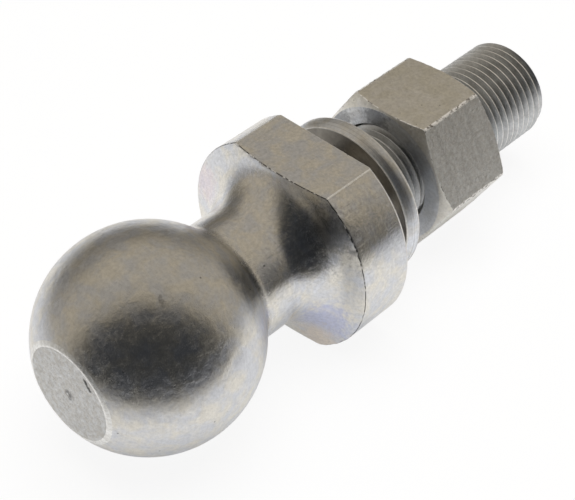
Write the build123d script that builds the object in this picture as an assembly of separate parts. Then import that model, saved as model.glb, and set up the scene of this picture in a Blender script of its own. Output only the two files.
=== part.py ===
from build123d import *
import math
import os

# A bolt-on hitch ball as it lies on a table with its nut and lock washer hung loose on the shank.
# Sizes are in millimetres. The origin is the centre of the flange's seat, X runs out along the shank
# to its threaded end, and Z is up, square to the flange's wrench flats and to one flat of the nut.

# Ball and neck
BALL_DIA = 50.8
BALL_CENTRE_TO_SEAT = 54.7
CROWN_FLAT_DIA = 23.4
CROWN_RIM_RADIUS = 1.2
CENTRE_MARK_DIA = 2.2
CENTRE_MARK_ANGLE = 90.0
NECK_DIA = 30.2
NECK_BLEND_RADIUS = 4.0

# Flange
FLANGE_DIA = 52.6
FLANGE_EDGE_WIDTH = 14.5
FLANGE_FACE_SLOPE = 16.0
FLANGE_ACROSS_FLATS = 44.9
FLANGE_EDGE_BREAK = 0.3
FLARE_RADIUS = 9.6

# Shank
SHANK_DIA = 25.4
SHANK_LENGTH = 70.3
SHANK_CHAMFER = 1.5
SEAT_CORNER_RADIUS = 0.3

# Right-hand thread on the shank, 12 turns to 25.4 mm, wound on a core that the shank is turned down to
SEAT_TO_RELIEF = 6.0
SEAT_TO_THREAD = 9.67
THREAD_PITCH = 25.4 / 12
THREAD_DEPTH = 1.15
THREAD_CREST_WIDTH = 0.25
THREAD_FLANK_ANGLE = 30.0
THREAD_FOOT = 0.1

# Lock washer
WASHER_RADIAL_CLEARANCE = 0.4
WASHER_HANGING_GAP = 0.02
WASHER_WIDTH = 7.2
WASHER_THICKNESS = 3.8
WASHER_FRONT_SHOULDER = 0.8
WASHER_REAR_SHOULDER = 0.1
WASHER_CROWN = 0.15
WASHER_BORE_BREAK = 0.5
WASHER_SPLIT_GAP = 1.6
WASHER_SPLIT_SLANT = 25.0
WASHER_SPLIT_TURN = 215.0
SEAT_TO_WASHER = 7.7

# Hex nut
NUT_ACROSS_FLATS = 36.5
NUT_HEIGHT = 22.2
NUT_BEARING_DIA = 35.5
NUT_CHAMFER_ANGLE = 25.0
NUT_RADIAL_CLEARANCE = 0.05
NUT_COUNTERSINK = 0.7
WASHER_TO_NUT = 9.8

# How far a cutting tool runs past the metal that it cuts
TOOL_OVERRUN = 2.0


def ball_stud_profile():
    """Half section of the stud as far as its thread, as (X, radius), and where the flare starts."""
    ball_r = BALL_DIA / 2
    neck_r = NECK_DIA / 2
    shank_r = SHANK_DIA / 2
    flange_r = FLANGE_DIA / 2
    mark_r = CENTRE_MARK_DIA / 2
    mark_depth = mark_r / math.tan(math.radians(CENTRE_MARK_ANGLE / 2))

    # the crown's flat, and the small round rim that runs tangent into the ball
    flat_height = math.sqrt(ball_r**2 - (CROWN_FLAT_DIA / 2) ** 2)
    crown_x = -BALL_CENTRE_TO_SEAT - flat_height
    rim_centre_height = flat_height - CROWN_RIM_RADIUS
    rim_centre_r = math.sqrt((ball_r - CROWN_RIM_RADIUS) ** 2 - rim_centre_height**2)
    rim_turn = math.degrees(math.atan2(rim_centre_r, rim_centre_height))

    # the small hollow blend between the ball and the neck touches both
    blend_turn = 90 - math.degrees(
        math.asin((neck_r + NECK_BLEND_RADIUS) / (ball_r + NECK_BLEND_RADIUS))
    )
    ball_turn = 90 + blend_turn - rim_turn

    # the large hollow flare turns the neck into the flange's sloping front face
    slope = math.radians(FLANGE_FACE_SLOPE)
    face_inner_r = neck_r + FLARE_RADIUS * (1 - math.sin(slope))
    face_depth = (flange_r - face_inner_r) * math.tan(slope)
    flare_x = -FLANGE_EDGE_WIDTH - face_depth - FLARE_RADIUS * math.cos(slope)

    with BuildSketch(Plane.XZ) as profile:
        with BuildLine():
            mark = Line((crown_x + mark_depth, 0), (crown_x, mark_r))
            crown = Line(mark @ 1, (crown_x, rim_centre_r))
            rim = JernArc(crown @ 1, (0, 1), CROWN_RIM_RADIUS, -rim_turn)
            ball = JernArc(rim @ 1, rim % 1, ball_r, -ball_turn)
            blend = JernArc(ball @ 1, ball % 1, NECK_BLEND_RADIUS, blend_turn)
            neck = Line(blend @ 1, (flare_x, neck_r))
            flare = JernArc(neck @ 1, (1, 0), FLARE_RADIUS, 90 - FLANGE_FACE_SLOPE)
            front = Line(flare @ 1, (-FLANGE_EDGE_WIDTH, flange_r))
            edge = Line(front @ 1, (-FLANGE_EDGE_BREAK, flange_r))
            edge_break = Line(edge @ 1, (0, flange_r - FLANGE_EDGE_BREAK))
            seat = Line(edge_break @ 1, (0, shank_r + SEAT_CORNER_RADIUS))
            corner = JernArc(seat @ 1, (0, -1), SEAT_CORNER_RADIUS, 90)
            shank = Line(corner @ 1, (SEAT_TO_RELIEF, shank_r))
            relief = Line(shank @ 1, (SEAT_TO_RELIEF + THREAD_DEPTH, shank_r - THREAD_DEPTH))
            core = Line(relief @ 1, (SEAT_TO_RELIEF + THREAD_DEPTH, 0))
            Line(core @ 1, mark @ 0)
        make_face()
    return profile.sketch, flare_x


def threaded_end():
    """One ridge wound on a helix round the shank's core, then turned off to length and sloping at both ends."""
    shank_r = SHANK_DIA / 2
    core_r = shank_r - THREAD_DEPTH
    core_x = SEAT_TO_RELIEF + THREAD_DEPTH
    mark_r = CENTRE_MARK_DIA / 2
    mark_depth = mark_r / math.tan(math.radians(CENTRE_MARK_ANGLE / 2))
    half_crest = THREAD_CREST_WIDTH / 2
    half_foot = half_crest + (THREAD_DEPTH + THREAD_FOOT) * math.tan(math.radians(THREAD_FLANK_ANGLE))
    length = THREAD_PITCH * math.ceil((SHANK_LENGTH - SEAT_TO_THREAD) / THREAD_PITCH + 1)
    with BuildPart() as bar:
        with BuildLine():
            Helix(THREAD_PITCH, length, shank_r, center=(SEAT_TO_THREAD, 0, 0), direction=(1, 0, 0))
        with BuildSketch(Plane.XZ):
            with BuildLine():
                Polyline(
                    (SEAT_TO_THREAD - half_foot, core_r - THREAD_FOOT),
                    (SEAT_TO_THREAD - half_crest, shank_r),
                    (SEAT_TO_THREAD + half_crest, shank_r),
                    (SEAT_TO_THREAD + half_foot, core_r - THREAD_FOOT),
                    close=True,
                )
            make_face()
        sweep(is_frenet=True)
        with BuildSketch(Plane.XZ):
            with BuildLine():
                Polyline(
                    (core_x, 0),
                    (core_x, core_r),
                    (SEAT_TO_THREAD + length + TOOL_OVERRUN, core_r),
                    (SEAT_TO_THREAD + length + TOOL_OVERRUN, 0),
                    close=True,
                )
            make_face()
        revolve(axis=Axis.X)
        with BuildSketch(Plane.XZ):
            with BuildLine():
                Polyline(
                    (core_x, 0),
                    (core_x, core_r),
                    (core_x + THREAD_DEPTH + TOOL_OVERRUN, shank_r + TOOL_OVERRUN),
                    (SHANK_LENGTH - SHANK_CHAMFER - TOOL_OVERRUN, shank_r + TOOL_OVERRUN),
                    (SHANK_LENGTH, shank_r - SHANK_CHAMFER),
                    (SHANK_LENGTH, mark_r),
                    (SHANK_LENGTH - mark_depth, 0),
                    close=True,
                )
            make_face()
        revolve(axis=Axis.X, mode=Mode.INTERSECT)
    return bar.part


def ball_stud():
    """Ball, neck, flange and shank are one forging turned about X, milled flat at two sides and threaded."""
    profile, flare_x = ball_stud_profile()
    cut_length = TOOL_OVERRUN - flare_x
    cut_centre_x = flare_x + cut_length / 2
    with BuildPart() as stud:
        add(profile)
        revolve(axis=Axis.X)
        for side in (1, -1):
            with Locations((cut_centre_x, 0, side * (FLANGE_ACROSS_FLATS + FLANGE_DIA) / 2)):
                Box(cut_length, FLANGE_DIA, FLANGE_DIA, mode=Mode.SUBTRACT)
        add(threaded_end())
    return stud.part


def lock_washer():
    """Spring wire coiled on edge and flattened: level faces, a crowned rim and one slanting split."""
    bore_r = SHANK_DIA / 2 + WASHER_RADIAL_CLEARANCE
    outer_r = bore_r + WASHER_WIDTH
    front = (0, outer_r - WASHER_FRONT_SHOULDER)
    crown = (WASHER_THICKNESS / 2, outer_r + WASHER_CROWN - WASHER_REAR_SHOULDER)
    rear = (WASHER_THICKNESS, outer_r - WASHER_REAR_SHOULDER)
    drop = WASHER_RADIAL_CLEARANCE - WASHER_HANGING_GAP
    with BuildPart() as washer:
        with BuildSketch(Plane.XZ):
            with BuildLine():
                ThreePointArc(front, crown, rear)
                Polyline(
                    rear,
                    (WASHER_THICKNESS, bore_r + WASHER_BORE_BREAK),
                    (WASHER_THICKNESS - WASHER_BORE_BREAK, bore_r),
                    (WASHER_BORE_BREAK, bore_r),
                    (0, bore_r + WASHER_BORE_BREAK),
                    front,
                )
            make_face()
        revolve(axis=Axis.X)
        split_height = bore_r + WASHER_WIDTH / 2
        split_length = WASHER_THICKNESS / math.cos(math.radians(WASHER_SPLIT_SLANT)) + 2 * TOOL_OVERRUN
        cutter = Box(split_length, WASHER_SPLIT_GAP, WASHER_WIDTH + TOOL_OVERRUN, mode=Mode.PRIVATE)
        cutter = Rot(X=WASHER_SPLIT_TURN) * Pos(WASHER_THICKNESS / 2, 0, split_height) * (
            Rot(Z=WASHER_SPLIT_SLANT) * cutter
        )
        add(cutter, mode=Mode.SUBTRACT)
    return Pos(SEAT_TO_WASHER, 0, -drop) * washer.part


def hex_nut():
    """Hexagon bar, turned off at both ends to a round bearing face, with a countersunk bore."""
    bore_r = SHANK_DIA / 2 + NUT_RADIAL_CLEARANCE
    mouth_r = bore_r + NUT_COUNTERSINK
    bearing_r = NUT_BEARING_DIA / 2
    blank_r = NUT_ACROSS_FLATS / math.sqrt(3) + TOOL_OVERRUN
    chamfer_depth = (blank_r - bearing_r) * math.tan(math.radians(NUT_CHAMFER_ANGLE))
    with BuildPart() as nut:
        with BuildSketch(Plane.YZ):
            RegularPolygon(NUT_ACROSS_FLATS / 2, 6, major_radius=False)
        extrude(amount=NUT_HEIGHT)
        with BuildSketch(Plane.XZ):
            with BuildLine():
                Polyline(
                    (0, 0),
                    (0, bearing_r),
                    (chamfer_depth, blank_r),
                    (NUT_HEIGHT - chamfer_depth, blank_r),
                    (NUT_HEIGHT, bearing_r),
                    (NUT_HEIGHT, 0),
                    close=True,
                )
            make_face()
        revolve(axis=Axis.X, mode=Mode.INTERSECT)
        with BuildSketch(Plane.XZ):
            with BuildLine():
                Polyline(
                    (0, 0),
                    (0, mouth_r),
                    (NUT_COUNTERSINK, bore_r),
                    (NUT_HEIGHT - NUT_COUNTERSINK, bore_r),
                    (NUT_HEIGHT, mouth_r),
                    (NUT_HEIGHT, 0),
                    close=True,
                )
            make_face()
        revolve(axis=Axis.X, mode=Mode.SUBTRACT)
    return Pos(SEAT_TO_WASHER + WASHER_THICKNESS + WASHER_TO_NUT, 0, 0) * nut.part


os.makedirs("parts", exist_ok=True)
export_step(ball_stud(), "parts/ball_stud.step")
export_step(lock_washer(), "parts/lock_washer.step")
export_step(hex_nut(), "parts/hex_nut.step")
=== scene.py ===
import math

import bmesh
import bpy
from mathutils import Matrix, Vector, noise


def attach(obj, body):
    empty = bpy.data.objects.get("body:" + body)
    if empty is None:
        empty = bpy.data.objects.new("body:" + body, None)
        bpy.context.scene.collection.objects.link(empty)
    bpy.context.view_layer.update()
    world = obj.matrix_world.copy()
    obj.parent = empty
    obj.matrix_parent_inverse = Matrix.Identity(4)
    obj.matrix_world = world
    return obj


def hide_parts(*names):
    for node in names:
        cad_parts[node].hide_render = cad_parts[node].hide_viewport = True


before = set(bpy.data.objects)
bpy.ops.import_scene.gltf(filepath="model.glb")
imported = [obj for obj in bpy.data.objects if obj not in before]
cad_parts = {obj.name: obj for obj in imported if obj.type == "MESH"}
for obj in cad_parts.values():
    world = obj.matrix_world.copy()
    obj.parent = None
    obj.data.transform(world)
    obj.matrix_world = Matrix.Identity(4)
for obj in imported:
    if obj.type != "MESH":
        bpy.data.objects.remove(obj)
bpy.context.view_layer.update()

# Camera. A long lens looks down at the ball's end of the part, a little over 40 degrees above the table
# and about half way round from its side, so the shank runs away to the upper right.
CAMERA_PLACE = Vector((-0.205226, -0.176636, 0.240603))
CAMERA_AIM = Vector((-0.015834, -0.003959, 0.002248))
CAMERA_ROLL = 1.3226
LENS = 97.402
SENSOR_WIDTH = 36.0

camera_data = bpy.data.cameras.new("photo_camera")
camera_data.lens = LENS
camera_data.sensor_fit = "HORIZONTAL"
camera_data.sensor_width = SENSOR_WIDTH
camera_data.clip_start = 0.01
camera = bpy.data.objects.new("photo_camera", camera_data)
level_view = (CAMERA_AIM - CAMERA_PLACE).to_track_quat("-Z", "Y").to_matrix().to_4x4()
roll = Matrix.Rotation(math.radians(CAMERA_ROLL), 4, "Z")
camera.matrix_world = Matrix.Translation(CAMERA_PLACE) @ level_view @ roll
bpy.context.scene.collection.objects.link(camera)
bpy.context.scene.camera = camera

scene = bpy.context.scene
scene.view_settings.view_transform = "Standard"


# Table. A sheet of matt white paper. The part lies on the ball's underside and the lower rear edge of its
# flange, so the shank's axis is a few degrees off level. A hand's breadth in front of the part the paper's
# tone is painted dark where the steel mirrors it: painted shade for a dark foreground, which the camera
# sees white.
MM = 0.001  # the part's sizes are in millimetres, those of the scene round it in metres
TABLE_SIZE = 4.0
BALL_RADIUS = 25.4
BALL_CENTRE_X = -54.7
LOWER_FLAT_HEIGHT = 22.45
SHEET_FRONT = 0.095
SHEET_FADE = 0.06
SHEET_FRONT_SIDE = Vector((-0.53, -0.848, 0.0))
FOREGROUND_TONE = 0.17
BRIGHTEST_SPOT = Vector((0.0, 0.02, 0.0))
BRIGHT_REACH = 0.1
FALL_OFF = 0.2
GLOW_SEEN = 0.9
GLOW_MIRRORED = 0.4


def add_node(tree, kind, inputs=None, **settings):
    """Adds a shader node with its settings, and gives each input a value or a link."""
    node = tree.nodes.new("ShaderNode" + kind)
    for name, value in settings.items():
        setattr(node, name, value)
    for name, value in (inputs or {}).items():
        if isinstance(value, bpy.types.NodeSocket):
            tree.links.new(value, node.inputs[name])
        else:
            node.inputs[name].default_value = value
    return node


def new_material(name):
    """Makes an empty node material and returns it with its node tree."""
    material = bpy.data.materials.new(name)
    material.use_nodes = True
    material.node_tree.nodes.clear()
    return material, material.node_tree


rise = math.asin(BALL_RADIUS / math.hypot(BALL_CENTRE_X, LOWER_FLAT_HEIGHT)) - math.atan2(
    LOWER_FLAT_HEIGHT, -BALL_CENTRE_X
)
bm = bmesh.new()
bmesh.ops.create_grid(bm, x_segments=1, y_segments=1, size=TABLE_SIZE / 2)
bmesh.ops.rotate(bm, verts=bm.verts, cent=(0, 0, 0), matrix=Matrix.Rotation(-rise, 3, "Y"))
bmesh.ops.translate(bm, verts=bm.verts, vec=(0, 0, -LOWER_FLAT_HEIGHT * MM))
table_mesh = bpy.data.meshes.new("table")
bm.to_mesh(table_mesh)
bm.free()
table = bpy.data.objects.new("table", table_mesh)
scene.collection.objects.link(table)

# Matt white paper: the camera sees it nearly as white as the background, with a soft shadow. The steel
# mirrors it with a deeper shadow, because less of it glows there, and dimmer the further off it is: a
# painted pool of light round its brightest spot, painted into both its tone and its glow.
white_paper, tree = new_material("matt_white_paper")
camera_ray = add_node(tree, "LightPath").outputs["Is Camera Ray"]
place = add_node(tree, "TexCoord").outputs["Object"]
forward = add_node(tree, "VectorMath", {0: place, 1: SHEET_FRONT_SIDE}, operation="DOT_PRODUCT")
# painted shade: in the steel's mirrors the paper turns dark a hand's breadth in front of the part
sheet = add_node(
    tree, "MapRange",
    {"Value": forward.outputs["Value"], "From Min": SHEET_FRONT, "From Max": SHEET_FRONT + SHEET_FADE,
     "To Min": 1.0, "To Max": FOREGROUND_TONE},
    interpolation_type="SMOOTHSTEP",
)
# painted pool of light: the paper's mirrored tone falls off with distance from its brightest spot
away = add_node(tree, "VectorMath", {0: place, 1: BRIGHTEST_SPOT}, operation="DISTANCE")
reach = add_node(tree, "Math", {0: away.outputs["Value"], 1: FALL_OFF}, operation="ADD")
falling = add_node(tree, "Math", {0: FALL_OFF + BRIGHT_REACH, 1: reach.outputs[0]}, operation="DIVIDE")
lit = add_node(tree, "Math", {0: falling.outputs[0], 1: 1.0}, operation="MINIMUM")
level = add_node(tree, "Math", {0: lit.outputs[0], 1: sheet.outputs["Result"]}, operation="MULTIPLY")
paper_tone = add_node(tree, "Math", {0: level.outputs[0], 1: camera_ray}, operation="MAXIMUM")
paper = add_node(tree, "BsdfDiffuse", {"Color": paper_tone.outputs[0]})
white = add_node(tree, "Emission", {"Strength": paper_tone.outputs[0]})
glow = add_node(
    tree, "Math", {0: camera_ray, 1: GLOW_SEEN - GLOW_MIRRORED, 2: GLOW_MIRRORED}, operation="MULTIPLY_ADD"
)
surface = add_node(tree, "MixShader", {0: glow.outputs[0], 1: paper.outputs[0], 2: white.outputs[0]})
add_node(tree, "OutputMaterial", {"Surface": surface.outputs[0]})
table_mesh.materials.append(white_paper)


# Light. A tent of warm white cloth stands over the table and is open towards the camera, where the room
# is dark. Its far side is in shade low down. One large soft lamp above lights the paper to white and
# gives the part its shadow.
TENT_LIGHT = (0.475, 0.432, 0.364, 1.0)
ROOM_LIGHT = (0.038, 0.04, 0.043, 1.0)
OPENING_SIDE = Vector((-0.636, -0.772, 0.0))
OPENING_EDGE = (0.08, 0.37)
FAR_SIDE = Vector((0.5, 0.866, 0.0))
FAR_EDGE = (0.42, 0.9)
FAR_SHADE = 0.62
SHADE_TOP = (0.33, 0.58)
LAMP_HEIGHT = 0.9
LAMP_WIDTH = 0.8
LAMP_POWER = 7.5


def linear_colour(hex_value):
    """Turns an sRGB hex value such as "A0B1C2" into the linear colour that nodes take."""
    channels = []
    for start in (0, 2, 4):
        value = int(hex_value[start:start + 2], 16) / 255
        channels.append(value / 12.92 if value <= 0.04045 else ((value + 0.055) / 1.055) ** 2.4)
    return (*channels, 1.0)


# Each edge in the tent is soft. It runs between two cosines, taken from the middle of its side or, for the
# top of the shade, from straight up.
world = bpy.data.worlds.new("light_tent")
world.use_nodes = True
tree = world.node_tree
tree.nodes.clear()
direction = add_node(tree, "TexCoord")
frontward = add_node(
    tree, "VectorMath", {0: direction.outputs["Generated"], 1: OPENING_SIDE}, operation="DOT_PRODUCT"
)
opening = add_node(
    tree, "MapRange",
    {"Value": frontward.outputs["Value"], "From Min": OPENING_EDGE[0], "From Max": OPENING_EDGE[1]},
    interpolation_type="SMOOTHSTEP",
)
farward = add_node(
    tree, "VectorMath", {0: direction.outputs["Generated"], 1: FAR_SIDE}, operation="DOT_PRODUCT"
)
far = add_node(
    tree, "MapRange",
    {"Value": farward.outputs["Value"], "From Min": FAR_EDGE[0], "From Max": FAR_EDGE[1],
     "To Max": FAR_SHADE},
    interpolation_type="SMOOTHSTEP",
)
upward = add_node(tree, "SeparateXYZ", {0: direction.outputs["Generated"]})
steepness = add_node(tree, "Math", {0: upward.outputs["Z"]}, operation="ABSOLUTE")
low = add_node(
    tree, "MapRange",
    {"Value": steepness.outputs[0], "From Min": SHADE_TOP[0], "From Max": SHADE_TOP[1], "To Min": 1.0,
     "To Max": 0.0},
    interpolation_type="SMOOTHSTEP",
)
shaded = add_node(tree, "Math", {0: far.outputs["Result"], 1: low.outputs["Result"]}, operation="MULTIPLY")
cloth = add_node(
    tree, "Mix", {0: shaded.outputs[0], 6: TENT_LIGHT, 7: (0.0, 0.0, 0.0, 1.0)}, data_type="RGBA"
)
tent = add_node(
    tree, "Mix", {0: opening.outputs["Result"], 6: cloth.outputs[2], 7: ROOM_LIGHT}, data_type="RGBA"
)
ray = add_node(tree, "LightPath")
backdrop = add_node(
    tree, "Mix", {0: ray.outputs["Is Camera Ray"], 6: tent.outputs[2], 7: linear_colour("FFFFFF")},
    data_type="RGBA",
)
background = add_node(tree, "Background", {"Color": backdrop.outputs[2], "Strength": 1.0})
add_node(tree, "OutputWorld", {"Surface": background.outputs[0]})
scene.world = world

lamp_data = bpy.data.lights.new("overhead_softbox", "AREA")
lamp_data.shape = "SQUARE"
lamp_data.size = LAMP_WIDTH
lamp_data.energy = LAMP_POWER
lamp = bpy.data.objects.new("overhead_softbox", lamp_data)
lamp.location = (0, 0, LAMP_HEIGHT)
lamp.visible_glossy = False
lamp.visible_camera = False
scene.collection.objects.link(lamp)


# Ball stud. One steel forging turned on a lathe: the ball with its flat crown, the waisted neck, the
# flange and the shank. Two wrench flats are milled on the flange, and the shank has a cut thread.
CROWN_RADIUS = 11.7
CROWN_RIM = 1.2
CROWN_RINGS = (1.3, 4.0, 8.0)
CENTRE_MARK = 1.1
NECK_RADIUS = 15.1
NECK_BLEND = 4.0
FLANGE_RADIUS = 26.3
FLANGE_EDGE = 14.5
FLANGE_SLOPE = math.radians(16)
FLANGE_RINGS = (-14.0, -10.0, -5.0)
FLANGE_INSIDE = 20.0
FLANGE_BREAK = 0.3
BREAK_ROUND = 0.25
BREAK_SINK = 0.09
FLARE = 9.6
SEAT_ROUND = 0.3
SHANK_RADIUS = 12.7
SHANK_END = 70.3
SHANK_CHAMFER = 1.5
SHANK_END_RING = 6.0
RELIEF_START = 6.0
THREAD_DEPTH = 1.15
STRETCH_RINGS = 4
STUD_STEPS = 256
SLACK = 0.1
MERGE_REACH = 0.004
PLANE_REACH = 0.001
SLIVER = 0.03
CREASE_ANGLE = math.radians(32)
WORN, BURRED, CROWN, THREAD, RUBBED = range(1, 6)  # places in the list of finishes, after turned steel


def draw_to(bm, start, x, radius):
    """Draws a lathe profile on from start to a point in millimetres, and returns its end."""
    end = bmesh.ops.extrude_vert_indiv(bm, verts=[start])["verts"][0]
    end.co = (x * MM, 0, radius * MM)
    return end


def draw_round(bm, start, x, radius, turn, steps):
    """Draws a lathe profile on from start round a centre in millimetres, and returns its end."""
    arc = bmesh.ops.spin(
        bm, geom=[start], cent=(x * MM, 0, radius * MM), axis=(0, 1, 0), angle=turn, steps=steps
    )
    return [part for part in arc["geom_last"] if isinstance(part, bmesh.types.BMVert)][0]


def turn_full(bm, steps):
    """Turns the whole profile once about the shank's axis and closes it."""
    bmesh.ops.spin(
        bm, geom=bm.verts[:] + bm.edges[:], cent=(0, 0, 0), axis=(1, 0, 0), angle=math.tau,
        steps=steps, use_merge=True,
    )
    bmesh.ops.remove_doubles(bm, verts=bm.verts, dist=MERGE_REACH * MM)
    bmesh.ops.recalc_face_normals(bm, faces=bm.faces)


def mill_flat(bm, faces, place, normal):
    """Cuts the faces off flat outside a plane and closes the cut."""
    parts = dict.fromkeys(part for face in faces for part in (face, *face.edges, *face.verts))
    cut = bmesh.ops.bisect_plane(
        bm, geom=list(parts), dist=PLANE_REACH * MM, plane_co=place, plane_no=normal, clear_outer=True
    )
    border = [part for part in cut["geom_cut"] if isinstance(part, bmesh.types.BMEdge)]
    bmesh.ops.contextual_create(bm, geom=border)


def wear_edges(bm, least_angle, width, first_x, last_x, inner_radius, finish, clamp=True):
    """Rounds the sharp outer edges between two places on the axis and gives them a finish.

    With clamp, the shortest edge that they meet limits the width of them all.
    """
    sharp = []
    for edge in bm.edges:
        middle = (edge.verts[0].co + edge.verts[1].co) / 2 / MM
        if (
            edge.calc_face_angle(0) > math.radians(least_angle)
            and first_x < middle.x < last_x
            and math.hypot(middle.y, middle.z) > inner_radius
        ):
            sharp.append(edge)
    bmesh.ops.bevel(
        bm, geom=sharp, offset=width * MM, offset_type="OFFSET", segments=2, profile=0.5,
        affect="EDGES", clamp_overlap=clamp, material=finish,
    )


def finish_piece(name, bm, finishes, body):
    """Makes the piece's object with its finishes, smooth but for its sharp edges."""
    mesh = bpy.data.meshes.new(name)
    bm.to_mesh(mesh)
    bm.free()
    mesh.shade_smooth()
    mesh.set_sharp_from_angle(angle=CREASE_ANGLE)
    for finish in finishes:
        mesh.materials.append(finish)
    piece = bpy.data.objects.new(name, mesh)
    scene.collection.objects.link(piece)
    even = piece.modifiers.new("even_normals", "WEIGHTED_NORMAL")
    even.keep_sharp = True
    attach(piece, body)
    return piece


# The half profile runs from the centre mark in the crown to the one in the shank's end. Rings on its
# straight stretches keep the faces there from getting too long.
bm = bmesh.new()
flat_height = math.sqrt(BALL_RADIUS**2 - CROWN_RADIUS**2)
crown_x = BALL_CENTRE_X - flat_height
rim_radius = math.sqrt((BALL_RADIUS - CROWN_RIM) ** 2 - (flat_height - CROWN_RIM) ** 2)
rim_turn = math.atan2(rim_radius, flat_height - CROWN_RIM)
blend_reach = BALL_RADIUS + NECK_BLEND
blend_height = NECK_RADIUS + NECK_BLEND
blend_turn = math.acos(blend_height / blend_reach)
blend_x = BALL_CENTRE_X + math.sqrt(blend_reach**2 - blend_height**2)
flare_turn = math.pi / 2 - FLANGE_SLOPE
face_inner = NECK_RADIUS + FLARE * (1 - math.sin(FLANGE_SLOPE))
face_depth = (FLANGE_RADIUS - face_inner) * math.tan(FLANGE_SLOPE)
flare_x = -FLANGE_EDGE - face_depth - FLARE * math.cos(FLANGE_SLOPE)
core_radius = SHANK_RADIUS - THREAD_DEPTH
thread_end = SHANK_END - SHANK_CHAMFER + THREAD_DEPTH

tip = bmesh.ops.create_vert(bm, co=((crown_x + CENTRE_MARK) * MM, 0, 0))["vert"][0]
tip = draw_to(bm, tip, crown_x, CENTRE_MARK)
for radius in (*CROWN_RINGS, rim_radius):
    tip = draw_to(bm, tip, crown_x, radius)
tip = draw_round(bm, tip, crown_x + CROWN_RIM, rim_radius, rim_turn, steps=8)
tip = draw_round(bm, tip, BALL_CENTRE_X, 0, math.pi / 2 + blend_turn - rim_turn, steps=60)
tip = draw_round(bm, tip, blend_x, blend_height, -blend_turn, steps=14)
for step in range(1, STRETCH_RINGS + 1):
    tip = draw_to(bm, tip, blend_x + (flare_x - blend_x) * step / STRETCH_RINGS, NECK_RADIUS)
tip = draw_round(bm, tip, flare_x, NECK_RADIUS + FLARE, -flare_turn, steps=26)
for step in range(1, STRETCH_RINGS + 1):
    radius = face_inner + (FLANGE_RADIUS - face_inner) * step / STRETCH_RINGS
    tip = draw_to(bm, tip, -FLANGE_EDGE - (FLANGE_RADIUS - radius) * math.tan(FLANGE_SLOPE), radius)
for x in (*FLANGE_RINGS, -FLANGE_BREAK - BREAK_ROUND):
    tip = draw_to(bm, tip, x, FLANGE_RADIUS)
tip = draw_to(bm, tip, -FLANGE_BREAK, FLANGE_RADIUS - BREAK_SINK)
tip = draw_to(bm, tip, 0, FLANGE_RADIUS - FLANGE_BREAK)
tip = draw_to(bm, tip, 0, FLANGE_INSIDE)
tip = draw_to(bm, tip, 0, SHANK_RADIUS + SEAT_ROUND)
tip = draw_round(bm, tip, SEAT_ROUND, SHANK_RADIUS + SEAT_ROUND, -math.pi / 2, steps=4)
tip = draw_to(bm, tip, RELIEF_START, SHANK_RADIUS)
tip = draw_to(bm, tip, RELIEF_START + THREAD_DEPTH, core_radius)
tip = draw_to(bm, tip, thread_end, core_radius)
tip = draw_to(bm, tip, SHANK_END, SHANK_RADIUS - SHANK_CHAMFER)
tip = draw_to(bm, tip, SHANK_END, SHANK_END_RING)
tip = draw_to(bm, tip, SHANK_END, CENTRE_MARK)
draw_to(bm, tip, SHANK_END - CENTRE_MARK, 0)
turn_full(bm, STUD_STEPS)

for side in (1, -1):
    flange = [
        face for face in bm.faces
        if flare_x * MM < face.calc_center_median().x < SLACK * MM and face.calc_center_median().z * side > 0
    ]
    mill_flat(bm, flange, (0, 0, side * LOWER_FLAT_HEIGHT * MM), (0, 0, side))
bmesh.ops.dissolve_degenerate(bm, dist=SLIVER * MM, edges=bm.edges)

# Handling has worn the flange's edges round. The front edge, where the sloping face meets the rim and the
# flats, has the burr from facing instead, and that is torn higher on the -Y side.
WEAR_WIDTH = 0.2
FLAT_EDGE_ANGLE = 27
REAR_EDGE_ANGLE = 80
FRONT_EDGE = (-FLANGE_EDGE - 3, -FLANGE_EDGE + 0.1)
FLAT_EDGES = (-FLANGE_EDGE + 0.3, -0.4)
REAR_EDGE = (-0.4, 0.4)
REAR_ROUND = (-0.5, -0.01)
REAR_ROUND_DEPTH = 0.4
RUBBED_DEPTH = 0.35
BURR_HEIGHT = 0.04
BURR_GRAIN = 1.1
TORN_HEIGHT = 0.14
TORN_START = 12
TORN_RUN = 4
NOISE_SEED = 5

wear_edges(bm, FLAT_EDGE_ANGLE, WEAR_WIDTH, *FRONT_EDGE, FLANGE_INSIDE, BURRED)
wear_edges(bm, FLAT_EDGE_ANGLE, WEAR_WIDTH, *FLAT_EDGES, FLANGE_INSIDE, WORN, clamp=False)
wear_edges(bm, REAR_EDGE_ANGLE, WEAR_WIDTH, *REAR_EDGE, FLANGE_INSIDE, WORN)
for face in bm.faces:
    middle = face.calc_center_median() / MM
    radius = math.hypot(middle.y, middle.z)
    if middle.x < crown_x + CROWN_RIM and radius < rim_radius:
        face.material_index = CROWN
    elif middle.x < crown_x + RUBBED_DEPTH:
        face.material_index = RUBBED
    elif REAR_ROUND[0] < middle.x < REAR_ROUND[1] and radius > FLANGE_RADIUS - REAR_ROUND_DEPTH:
        face.material_index = WORN
    elif RELIEF_START < middle.x < SHANK_END - SLACK and radius < SHANK_RADIUS - SLACK:
        face.material_index = THREAD
noise.seed_set(NOISE_SEED)
for vert in bm.verts:
    if any(face.material_index == BURRED for face in vert.link_faces):
        torn = min(max((-vert.co.y / MM - TORN_START) / TORN_RUN, 0), 1)
        burr = BURR_HEIGHT + TORN_HEIGHT * torn
        vert.co += noise.noise_vector(vert.co * (BURR_GRAIN / MM)) * burr * MM

# The thread is one ridge wound round the shank's core. It grows out of the core at its start, and the
# chamfer turned on the shank's end cuts it down.
THREAD_START = 9.67
THREAD_PITCH = 25.4 / 12
THREAD_CREST = 0.25
THREAD_FLANK = math.radians(30)
THREAD_SINK = 0.1
THREAD_RISE_START = 8.9
THREAD_RISE = 0.6
THREAD_END_GAP = 0.01
THREAD_TURNS = 30
THREAD_STEPS = 96


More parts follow.
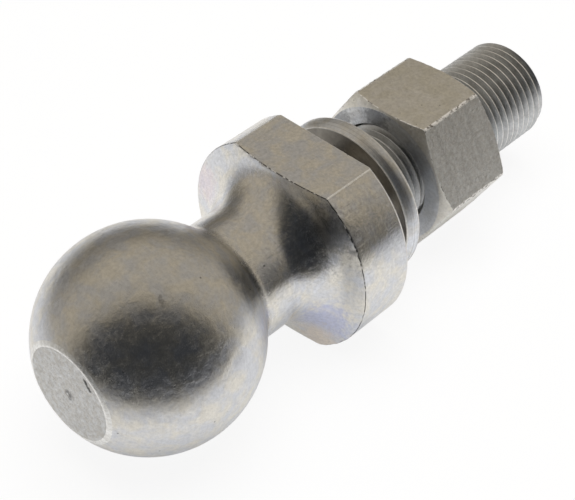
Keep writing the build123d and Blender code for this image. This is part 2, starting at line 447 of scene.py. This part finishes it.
def wind_ridge(start_x, foot_radius, crest_radius, turns):
    """Winds one thread ridge about the shank's axis from a place on it, and leaves its ends open."""
    half_crest = THREAD_CREST / 2
    half_foot = half_crest + abs(crest_radius - foot_radius) * math.tan(THREAD_FLANK)
    corners = (
        (-half_foot, foot_radius), (-half_crest, crest_radius), (half_crest, crest_radius),
        (half_foot, foot_radius),
    )
    ridge = bmesh.new()
    section = [
        bmesh.ops.create_vert(ridge, co=((start_x + x) * MM, 0, radius * MM))["vert"][0]
        for x, radius in corners
    ]
    for index, vert in enumerate(section):
        ridge.edges.new((vert, section[(index + 1) % len(section)]))
    bmesh.ops.spin(
        ridge, geom=section + ridge.edges[:], cent=(0, 0, 0), axis=(1, 0, 0), angle=math.tau,
        steps=THREAD_STEPS, dvec=(THREAD_PITCH / THREAD_STEPS * MM, 0, 0),
    )
    one_turn = ridge.verts[:] + ridge.edges[:] + ridge.faces[:]
    for turn in range(1, turns):
        copy = bmesh.ops.duplicate(ridge, geom=one_turn)["geom"]
        moved = [part for part in copy if isinstance(part, bmesh.types.BMVert)]
        bmesh.ops.translate(ridge, verts=moved, vec=(turn * THREAD_PITCH * MM, 0, 0))
    bmesh.ops.remove_doubles(ridge, verts=ridge.verts, dist=PLANE_REACH * MM)
    return ridge


def trim_ridge(ridge, first_x, last_x):
    """Cuts a ridge square across at two places on the shank's axis and closes its ends."""
    for x, side in ((first_x, -1), (last_x, 1)):
        bmesh.ops.bisect_plane(
            ridge, geom=ridge.verts[:] + ridge.edges[:] + ridge.faces[:], dist=PLANE_REACH * MM,
            plane_co=(x * MM, 0, 0), plane_no=(side, 0, 0), clear_outer=True,
        )
    bmesh.ops.holes_fill(ridge, edges=[edge for edge in ridge.edges if edge.is_boundary])
    bmesh.ops.recalc_face_normals(ridge, faces=ridge.faces)


def join_ridge(bm, ridge):
    """Adds a finished ridge to the piece that carries it."""
    ridge_mesh = bpy.data.meshes.new("thread_ridge")
    ridge.to_mesh(ridge_mesh)
    ridge.free()
    bm.from_mesh(ridge_mesh)
    bpy.data.meshes.remove(ridge_mesh)


ridge = wind_ridge(THREAD_START, core_radius - THREAD_SINK, SHANK_RADIUS, THREAD_TURNS)
trim_ridge(ridge, RELIEF_START, thread_end - THREAD_END_GAP)
for vert in ridge.verts:
    x = vert.co.x / MM
    radius = math.hypot(vert.co.y, vert.co.z) / MM
    rising = core_radius + (x - THREAD_RISE_START) * THREAD_RISE
    chamfered = SHANK_RADIUS - SHANK_CHAMFER + SHANK_END - x
    top = min(SHANK_RADIUS, chamfered, rising)
    if radius > top:
        vert.co.y *= top / radius
        vert.co.z *= top / radius
for face in ridge.faces:
    middle = face.calc_center_median() / MM
    face.material_index = WORN if math.hypot(middle.y, middle.z) > SHANK_RADIUS - SLACK else THREAD
join_ridge(bm, ridge)

# Patterns in the steel are set by how many of their grains lie in a millimetre, or by how far they lie
# apart, and the bump by how high it stands.
PER_MM = 1 / MM
TURNING_MARKS = 2.6
SKIN_GRAINS = 1.3
SCUFF_GRAINS = 0.65
SCRATCH_GRAINS = Vector((0.11, 1.5, 1.5))
SCRATCH_TURNS = ((0.5, 0.9, 0.3), (-0.7, 0.4, 1.9))
STAIN_RAGGED = 2.4
STAIN_EDGE = (1.55, 2.45)
BUMP_HEIGHT = 0.03


def steel(
    name, tone, patch_tone, roughness, patch_size=4.3, patch_edge=0.11, rings=0.2, ring_shade=0.0, grain=1.0,
    scuffs=0.1, scratches=0.15, pits=0.1, pit_spacing=3.3, waviness=0.0, smoother=(0.0, 1.0, 0.0),
    patch_level=0.5, metallic=1.0, marks=(),
):
    """Bare satin steel: patches in two tones, turning marks, a mottled skin, scuffs, scratches and pits.

    Bruised edges are less metallic, because their broken surface scatters the light. What smoother holds
    is two places on X, between which the metal gets smoother, and by how much its roughness changes. Each
    of the marks is a soft patch given by its centre, reach, colour and strength. Some marks are stains;
    others are painted shade, a painted reflection and a painted highlight.
    """
    finish, tree = new_material(name)
    place = add_node(tree, "TexCoord").outputs["Object"]
    axes = add_node(tree, "SeparateXYZ", {0: place})
    y_squared = add_node(tree, "Math", {0: axes.outputs["Y"], 1: axes.outputs["Y"]}, operation="MULTIPLY")
    radius_squared = add_node(
        tree, "Math", {0: axes.outputs["Z"], 1: axes.outputs["Z"], 2: y_squared.outputs[0]},
        operation="MULTIPLY_ADD",
    )
    radius = add_node(tree, "Math", {0: radius_squared.outputs[0]}, operation="SQRT")
    along = add_node(tree, "CombineXYZ", {"X": axes.outputs["X"], "Y": radius.outputs[0]})
    # turning marks lie about 0.4 mm apart, along the axis on cylinders and across it on faces
    turned = add_node(
        tree, "TexNoise",
        {"Vector": along.outputs[0], "Scale": TURNING_MARKS * PER_MM, "Detail": 2.0, "Roughness": 0.6},
    )
    # patches of thin oxide, in two tones
    patches = add_node(
        tree, "TexNoise",
        {"Vector": place, "Scale": PER_MM / patch_size, "Detail": 4.0, "Roughness": 0.52, "Distortion": 0.4},
    )
    patch_amount = add_node(
        tree, "MapRange",
        {"Value": patches.outputs["Fac"], "From Min": patch_level - patch_edge,
         "From Max": patch_level + patch_edge},
    )
    colour = add_node(
        tree, "Mix",
        {0: patch_amount.outputs["Result"], 6: linear_colour(tone), 7: linear_colour(patch_tone)},
        data_type="RGBA",
    ).outputs[2]
    # the metal's skin is mottled in grains of three quarters of a millimetre and finer
    mottle = add_node(
        tree, "TexNoise",
        {"Vector": place, "Scale": SKIN_GRAINS * PER_MM, "Detail": 5.0, "Roughness": 0.7},
    ).outputs["Fac"]
    # scuffs are rubbed spots a millimetre or two across, duller than the metal round them
    rub = add_node(
        tree, "TexNoise",
        {"Vector": place, "Scale": SCUFF_GRAINS * PER_MM, "Detail": 6.0, "Roughness": 0.75},
    )
    scuff = add_node(
        tree, "MapRange",
        {"Value": rub.outputs["Fac"], "From Min": 0.48, "From Max": 0.64, "To Max": scuffs},
    )
    # marks are stains, bruises and heat colours, and patches of painted shade, painted reflection and
    # painted highlight, all with a ragged edge
    for centre, reach, hex_value, strength in marks:
        away = add_node(
            tree, "VectorMath", {0: place, 1: Vector(centre) * MM}, operation="DISTANCE"
        )
        ragged = add_node(
            tree, "Math", {0: rub.outputs["Fac"], 1: reach * MM * STAIN_RAGGED, 2: away.outputs["Value"]},
            operation="MULTIPLY_ADD",
        )
        stain = add_node(
            tree, "MapRange",
            {"Value": ragged.outputs[0], "From Min": reach * MM * STAIN_EDGE[0],
             "From Max": reach * MM * STAIN_EDGE[1], "To Min": strength, "To Max": 0.0},
            interpolation_type="SMOOTHSTEP",
        )
        colour = add_node(
            tree, "Mix", {0: stain.outputs["Result"], 6: colour, 7: linear_colour(hex_value)},
            data_type="RGBA",
        ).outputs[2]
    # scratches are a few millimetres long and as thin as a hair, in two directions
    scratch = 0.0
    for turn in SCRATCH_TURNS:
        drawn = add_node(
            tree, "Mapping", {"Vector": place, "Rotation": turn, "Scale": SCRATCH_GRAINS * PER_MM}
        )
        lines = add_node(
            tree, "TexNoise", {"Vector": drawn.outputs[0], "Scale": 1.0, "Detail": 1.0}
        )
        near = add_node(
            tree, "Math", {0: lines.outputs["Fac"], 1: 0.62, 2: 0.008}, operation="COMPARE"
        )
        scratch = add_node(
            tree, "Math", {0: near.outputs[0], 1: scratch}, operation="MAXIMUM"
        ).outputs[0]
    # pits are about a seventh as wide as they lie apart
    pit_cells = add_node(
        tree, "TexVoronoi", {"Vector": place, "Scale": PER_MM / pit_spacing}, feature="F1"
    )
    pit_pick = add_node(tree, "SeparateColor", {0: pit_cells.outputs["Color"]})
    chosen = add_node(
        tree, "Math", {0: pit_pick.outputs[0], 1: 1.0 - pits}, operation="GREATER_THAN"
    )
    pit_shape = add_node(
        tree, "MapRange",
        {"Value": pit_cells.outputs["Distance"], "From Min": 0.03, "From Max": 0.09, "To Min": 1.0,
         "To Max": 0.0},
    )
    pit = add_node(
        tree, "Math", {0: chosen.outputs[0], 1: pit_shape.outputs["Result"]}, operation="MULTIPLY"
    )
    shade = add_node(
        tree, "MapRange",
        {"Value": mottle, "From Min": 0.32, "From Max": 0.68, "To Min": 0.86, "To Max": 1.09},
    )
    ring_tone = add_node(
        tree, "MapRange",
        {"Value": turned.outputs["Fac"], "From Min": 0.3, "From Max": 0.7, "To Min": 1.0 - ring_shade,
         "To Max": 1.0 + ring_shade * 0.5},
    )
    skin_tone = add_node(
        tree, "Math", {0: shade.outputs["Result"], 1: ring_tone.outputs["Result"]}, operation="MULTIPLY"
    )
    pit_tone = add_node(
        tree, "Math", {0: pit.outputs[0], 1: -0.65, 2: skin_tone.outputs[0]}, operation="MULTIPLY_ADD"
    )
    toned = add_node(tree, "VectorMath", {0: colour, "Scale": pit_tone.outputs[0]}, operation="SCALE")
    base_rough = add_node(
        tree, "MapRange",
        {"Value": mottle, "From Min": 0.3, "From Max": 0.7, "To Min": roughness + 0.06,
         "To Max": roughness - 0.05},
    )
    smoothed = add_node(
        tree, "MapRange",
        {"Value": axes.outputs["X"], "From Min": smoother[0] * MM, "From Max": smoother[1] * MM},
        interpolation_type="SMOOTHSTEP",
    ).outputs["Result"]
    rough_left = add_node(tree, "Math", {0: smoothed, 1: -0.7, 2: 1.0}, operation="MULTIPLY_ADD").outputs[0]
    stretch_rough = add_node(
        tree, "Math", {0: smoothed, 1: smoother[2], 2: base_rough.outputs["Result"]},
        operation="MULTIPLY_ADD",
    )
    scuffed = add_node(
        tree, "Math", {0: scuff.outputs["Result"], 1: rough_left, 2: stretch_rough.outputs[0]},
        operation="MULTIPLY_ADD",
    )
    ring_height = add_node(tree, "Math", {0: turned.outputs["Fac"], 1: rings}, operation="MULTIPLY")
    grain_height = add_node(
        tree, "Math", {0: mottle, 1: grain, 2: ring_height.outputs[0]}, operation="MULTIPLY_ADD"
    )
    cut_height = add_node(
        tree, "Math", {0: scratch, 1: -scratches, 2: grain_height.outputs[0]}, operation="MULTIPLY_ADD"
    )
    wave = add_node(tree, "Math", {0: patches.outputs["Fac"], 1: rough_left}, operation="MULTIPLY")
    wave_height = add_node(
        tree, "Math", {0: wave.outputs[0], 1: waviness, 2: cut_height.outputs[0]},
        operation="MULTIPLY_ADD",
    )
    height = add_node(
        tree, "Math", {0: pit.outputs[0], 1: -1.5, 2: wave_height.outputs[0]}, operation="MULTIPLY_ADD"
    )
    bump = add_node(
        tree, "Bump", {"Height": height.outputs[0], "Strength": 1.0, "Distance": BUMP_HEIGHT * MM}
    )
    shader = add_node(
        tree, "BsdfPrincipled",
        {"Base Color": toned.outputs[0], "Metallic": metallic, "Roughness": scuffed.outputs[0],
         "Normal": bump.outputs[0]},
    )
    add_node(tree, "OutputMaterial", {"Surface": shader.outputs[0]})
    return finish


# Steel forging, turned and lightly oxidised: satin, in faint beige and cool grey patches, and smoother
# on the neck and the flange. Heat left faint blue and straw colours on the flange's face, and a grey
# patch on the upper front of its flare is a painted dark reflection.
stud_marks = (
    ((-59.8, -10.1, 22.7), 0.6, "55504A", 0.38),
    ((-60.2, -10.9, 22.3), 0.6, "55504A", 0.38),
    ((-60.6, -11.6, 21.8), 0.5, "55504A", 0.3),
    ((-16.2, -16.0, -10.5), 8.0, "BEC5EA", 0.6),
    ((-15.0, -13.5, -19.5), 6.5, "E9DDCF", 0.75),
    ((-15.0, 22.5, 6.0), 6.0, "DDCFDA", 0.5),
    # painted dark reflection on the upper front of the flare
    ((-18.0, -16.5, 14.0), 7.5, "6C6D6F", 0.5),
)
turned_steel = steel(
    "oxidised_turned_steel", "D2D4D9", "DEDBD4", roughness=0.29, ring_shade=0.03, grain=1.1, scuffs=0.14,
    pits=0.12, waviness=4.5, smoother=(-38.0, -28.0, -0.08), marks=stud_marks,
)
# Edges rubbed bright by handling.
worn_steel = steel(
    "worn_bright_steel", "EFEEEB", "E2E0DC", roughness=0.32, patch_size=0.9, grain=2.0, metallic=0.8
)
# The burr that facing the flange left on its front edge, in near-white and near-black patches: a painted
# highlight, and painted shade of the burr together with its dark nicks.
burred_steel = steel(
    "burr_painted_light_and_shade_steel", "E4E2DF", "24221F", roughness=0.4, patch_size=0.9, patch_edge=0.03,
    patch_level=0.45, grain=3.0, metallic=0.7,
)
# The crown's flat is faced, then scuffed by couplers, so it is duller and more mottled than the ball.
# Round the centre mark the crown has painted shade where its shallow dish is, with a painted highlight in the
# mark. A row of dark spots is a nick.
crown_marks = (
    # painted shade round the centre mark
    ((crown_x + 0.3, 0.0, 0.0), 1.5, "3A3734", 0.7),
    # painted highlight in the centre mark
    ((crown_x + 0.4, 0.35, -0.35), 0.6, "EDEDED", 0.9),
    ((crown_x, -5.95, 8.3), 0.6, "1A1917", 0.9),
    ((crown_x, -6.3, 7.7), 0.65, "1A1917", 0.9),
    ((crown_x, -6.7, 7.1), 0.65, "1A1917", 0.9),
    ((crown_x, -7.1, 6.5), 0.6, "1A1917", 0.9),
)
crown_steel = steel(
    "scuffed_crown_steel", "CFD0D1", "C2C0BC", roughness=0.4, patch_size=1.1, patch_edge=0.12, grain=2.5,
    ring_shade=0.06, scratches=0.8, pits=0.3, marks=crown_marks,
)
# The thread's flanks and roots, as the die cut them: a shade greyer and duller than their rubbed crests.
thread_steel = steel("cut_thread_steel", "D3D5D7", "C5C6C7", roughness=0.36, grain=1.5, pits=0.05)
# Couplers have rubbed the crown's rim, which makes it the brightest line on the ball.
rubbed_steel = steel("rubbed_rim_steel", "F3F3F2", "DDDCD9", roughness=0.32, patch_size=0.9, grain=2.0)
stud_finishes = [turned_steel, worn_steel, burred_steel, crown_steel, thread_steel, rubbed_steel]
stud = finish_piece("ball_stud_turned", bm, stud_finishes, "ball_stud")
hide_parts("ball_stud")


# Lock washer. A ring of oblong spring-steel wire, coiled and cut through on a slant, hanging loose on the
# shank. Its front is smooth and its rim is rough and slightly crowned from drawing. It is 0.02 mm thinner
# than the solid, so that it stays clear of the seat and the nut when the nut is run home.
WASHER_FRONT_X = 7.71
WASHER_THICKNESS = 3.78
WASHER_BORE = 13.1
WASHER_OUTER = 20.3
WASHER_DROP = 0.38
WIRE_BREAK = 0.5
SPLIT_WIDTH = 1.6
SPLIT_SLANT = math.radians(25)
SPLIT_TURN = math.radians(215)
WASHER_STEPS = 240
FRONT_DEPTH = 0.3
FRONT_CORNER = 0.25
REAR_CORNER = (3.2, 3.7)
CORNER_WIDTH = 1.15
SMOOTH, RUBBED_CORNER = range(1, 3)  # places in the list of finishes, after the drawn steel

# The wire's outline, as depths behind the washer's front and radii. It starts at the bore's front edge
# and goes round by the rim.
bm = bmesh.new()
wire = (
    (0.0, WASHER_BORE + WIRE_BREAK),
    (0.0, WASHER_OUTER - 1.1),
    (0.12, WASHER_OUTER - 0.9),
    (0.3, WASHER_OUTER - 0.78),
    (1.4, WASHER_OUTER - 0.14),
    (1.8, WASHER_OUTER + 0.04),
    (2.7, WASHER_OUTER + 0.1),
    (3.1, WASHER_OUTER + 0.09),
    (3.45, WASHER_OUTER - 0.02),
    (WASHER_THICKNESS, WASHER_OUTER - 0.3),
    (WASHER_THICKNESS, WASHER_BORE + WIRE_BREAK),
    (WASHER_THICKNESS - WIRE_BREAK, WASHER_BORE),
    (WIRE_BREAK, WASHER_BORE),
)
section = [
    bmesh.ops.create_vert(bm, co=((WASHER_FRONT_X + x) * MM, 0, radius * MM))["vert"][0]
    for x, radius in wire
]
profile = bm.faces.new(section)
gap_turn = SPLIT_WIDTH / (WASHER_BORE + WASHER_OUTER) * 2
split_end = Matrix.Rotation(SPLIT_TURN + gap_turn / 2, 3, "X")
bmesh.ops.rotate(bm, verts=section, cent=(0, 0, 0), matrix=split_end)
bmesh.ops.spin(
    bm, geom=[profile] + list(profile.edges) + section, cent=(0, 0, 0), axis=(1, 0, 0),
    angle=math.tau - gap_turn, steps=WASHER_STEPS,
)
bmesh.ops.holes_fill(bm, edges=[edge for edge in bm.edges if edge.is_boundary])
for face in bm.faces:
    middle = face.calc_center_median() / MM
    depth = middle.x - WASHER_FRONT_X
    on_rim = math.hypot(middle.y, middle.z) > WASHER_OUTER - CORNER_WIDTH
    if on_rim and (depth < FRONT_CORNER or REAR_CORNER[0] < depth < REAR_CORNER[1]):
        face.material_index = RUBBED_CORNER
    elif depth < FRONT_DEPTH:
        face.material_index = SMOOTH
middle_x = (WASHER_FRONT_X + WASHER_THICKNESS / 2) * MM
middle_radius = (WASHER_BORE + WASHER_OUTER) / 2 * MM
for vert in bm.verts:
    slant = (vert.co.x - middle_x) * math.tan(SPLIT_SLANT) / middle_radius
    vert.co.rotate(Matrix.Rotation(-slant, 3, "X"))
bmesh.ops.translate(bm, verts=bm.verts, vec=(0, 0, -WASHER_DROP * MM))
bmesh.ops.recalc_face_normals(bm, faces=bm.faces)
# Drawn spring steel: a rough pale rim with streaks round it.
spring_steel = steel(
    "drawn_spring_steel", "E2E5EB", "DCDAD6", roughness=0.4, rings=1.2, ring_shade=0.24, grain=1.5, pits=0.05
)
# The same steel on the washer's smooth front, painted darker and warmer than the rim: painted shade, as
# the front faces the flange and lies in its shadow.
browned_steel = steel(
    "painted_shade_spring_steel", "ADA9A3", "98948E", roughness=0.3, rings=0.3, ring_shade=0.1, grain=0.6,
    scuffs=0.05, pits=0.02,
)
washer = finish_piece(
    "lock_washer_coiled", bm, [spring_steel, browned_steel, worn_steel], "lock_washer"
)
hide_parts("lock_washer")


# Hex nut. Cold-drawn hexagon bar, faced and chamfered at both ends on a lathe, bored and tapped. The
# drawn flats are pitted and their edges are worn bright.
NUT_FRONT_X = 21.3
NUT_HEIGHT = 22.2
NUT_APOTHEM = 18.25
NUT_BEARING = 17.75
NUT_CHAMFER = math.radians(25)
NUT_BORE = 12.75
NUT_MOUTH = 13.45
NUT_CORNER = 20.84
NUT_SIDES = 6
NUT_SPARE = 0.5
NUT_FACE_RING = 16.0
NUT_INSIDE = 17
NUT_SLIVER = 0.25
NUT_THREAD_DEPTH = 0.65
NUT_THREAD_START = THREAD_START + 4.5 * THREAD_PITCH
NUT_THREAD_TURNS = 12
NUT_CLEARANCE = 0.02
NUT_STEPS = 192
PATTERN_TURN = 120  # degrees from straight up, because smooth and pitted flats alternate
CORNER_TURNS = (30, 90)
PITTED_TURN = 60
TURN_SPREAD = 5
END_FACING = 0.95
SIDE_FACING = 0.1
CORNER_ANGLE = 35
CORNER_WEAR = 0.12
CORNER_END = 0.3
CORNER_CUTS = 36
LONG_EDGE = 10
LONG_EDGE_ANGLE = 0.4
CHEW_DEPTH = 0.07
CHEW_GRAIN = 0.9
CHEWED, PITTED, FACED = range(1, 4)  # places in the list of finishes, after the drawn steel

bm = bmesh.new()
nut_end = NUT_FRONT_X + NUT_HEIGHT
blank = NUT_APOTHEM / math.cos(math.pi / NUT_SIDES) + NUT_SPARE
chamfer_depth = (blank - NUT_BEARING) * math.tan(NUT_CHAMFER)
tapped = NUT_BORE + NUT_THREAD_DEPTH
tip = bmesh.ops.create_vert(bm, co=(NUT_FRONT_X * MM, 0, NUT_MOUTH * MM))["vert"][0]
tip = draw_to(bm, tip, NUT_FRONT_X, NUT_FACE_RING)
tip = draw_to(bm, tip, NUT_FRONT_X, NUT_BEARING)
tip = draw_to(bm, tip, NUT_FRONT_X + chamfer_depth, blank)
tip = draw_to(bm, tip, nut_end - chamfer_depth, blank)
tip = draw_to(bm, tip, nut_end, NUT_BEARING)
tip = draw_to(bm, tip, nut_end, NUT_FACE_RING)
tip = draw_to(bm, tip, nut_end, NUT_MOUTH)
tip = draw_to(bm, tip, nut_end - SLACK, tapped)
tip = draw_to(bm, tip, NUT_FRONT_X + SLACK, tapped)
draw_to(bm, tip, NUT_FRONT_X, NUT_MOUTH)
turn_full(bm, NUT_STEPS)
for index in range(2 * NUT_SIDES):
    turn = math.radians(180 / NUT_SIDES * index)
    out = Vector((0, math.sin(turn), math.cos(turn)))
    mill_flat(bm, bm.faces[:], out * (NUT_CORNER if index % 2 else NUT_APOTHEM) * MM, out)
outer = [edge for edge in bm.edges if math.hypot(edge.verts[0].co.y, edge.verts[0].co.z) > NUT_INSIDE * MM]
bmesh.ops.dissolve_degenerate(bm, dist=NUT_SLIVER * MM, edges=outer)
bmesh.ops.recalc_face_normals(bm, faces=bm.faces)
for face in bm.faces:
    turn = math.degrees(math.atan2(face.normal.y, face.normal.z)) % PATTERN_TURN
    middle = face.calc_center_median() / MM
    if abs(face.normal.x) > END_FACING:
        face.material_index = FACED
    elif abs(face.normal.x) < SIDE_FACING and math.hypot(middle.y, middle.z) > NUT_INSIDE:
        if min(abs(turn - corner_turn) for corner_turn in CORNER_TURNS) < TURN_SPREAD:
            face.material_index = CHEWED
        elif abs(turn - PITTED_TURN) < TURN_SPREAD:
            face.material_index = PITTED
wear_edges(
    bm, CORNER_ANGLE, CORNER_WEAR, NUT_FRONT_X + CORNER_END, nut_end - CORNER_END, NUT_INSIDE, CHEWED,
    clamp=False,
)
corners = [
    edge for edge in bm.edges
    if edge.calc_length() > LONG_EDGE * MM and edge.calc_face_angle(0) > LONG_EDGE_ANGLE
]
bmesh.ops.subdivide_edges(bm, edges=corners, cuts=CORNER_CUTS)
for vert in bm.verts:
    if any(face.material_index == CHEWED for face in vert.link_faces):
        vert.co += noise.noise_vector(vert.co * (CHEW_GRAIN / MM)) * CHEW_DEPTH * MM

# The tapped thread is the shank's ridge turned inwards. It lies half a pitch off that, and the mouths of
# the bore cut it down.
ridge = wind_ridge(NUT_THREAD_START, tapped + THREAD_SINK, NUT_BORE + NUT_CLEARANCE, NUT_THREAD_TURNS)
trim_ridge(ridge, NUT_FRONT_X + NUT_CLEARANCE, nut_end - NUT_CLEARANCE)
for vert in ridge.verts:
    x = vert.co.x / MM
    radius = math.hypot(vert.co.y, vert.co.z) / MM
    least = max(NUT_BORE, NUT_MOUTH - (x - NUT_FRONT_X), NUT_MOUTH - (nut_end - x))
    if radius < least:
        vert.co.y *= least / radius
        vert.co.z *= least / radius
join_ridge(bm, ridge)
# Cold-drawn steel, smooth and beige on three flats and pitted by pickled-off rust on the others.
nut_steel = steel(
    "drawn_hexagon_steel", "E5E3DF", "DFDCD3", roughness=0.36, grain=1.6, scratches=0.25, pits=0.75,
    pit_spacing=2.2,
)
pitted_steel = steel(
    "pitted_hexagon_steel", "DBDBD9", "D0CECA", roughness=0.42, patch_size=0.9, grain=3.5, scuffs=0.12,
    scratches=1.0, pits=0.85, pit_spacing=1.3, waviness=7.0,
)
# The corners are chewed by wrenches, bright with dark nicks.
chewed_steel = steel(
    "chewed_corner_steel", "F4F2EE", "7E7973", roughness=0.35, patch_size=0.8, patch_edge=0.07,
    patch_level=0.56, grain=4.0, metallic=0.65,
)
# The faced ends are turned, bluish and darker. Painted shade darkens the upper part of the end towards
# the washer.
faced_marks = (
    ((NUT_FRONT_X, 3.0, 15.5), 4.4, "6E6F73", 0.62),
    ((NUT_FRONT_X, 13.5, 9.0), 4.8, "6E6F73", 0.62),
)
faced_steel = steel(
    "faced_nut_steel", "DADDE2", "D4D5D6", roughness=0.37, rings=0.7, ring_shade=0.09, grain=1.2, scuffs=0.05,
    pits=0.3, marks=faced_marks,
)
nut = finish_piece(
    "hex_nut_tapped", bm, [nut_steel, chewed_steel, pitted_steel, faced_steel], "hex_nut"
)
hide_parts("hex_nut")
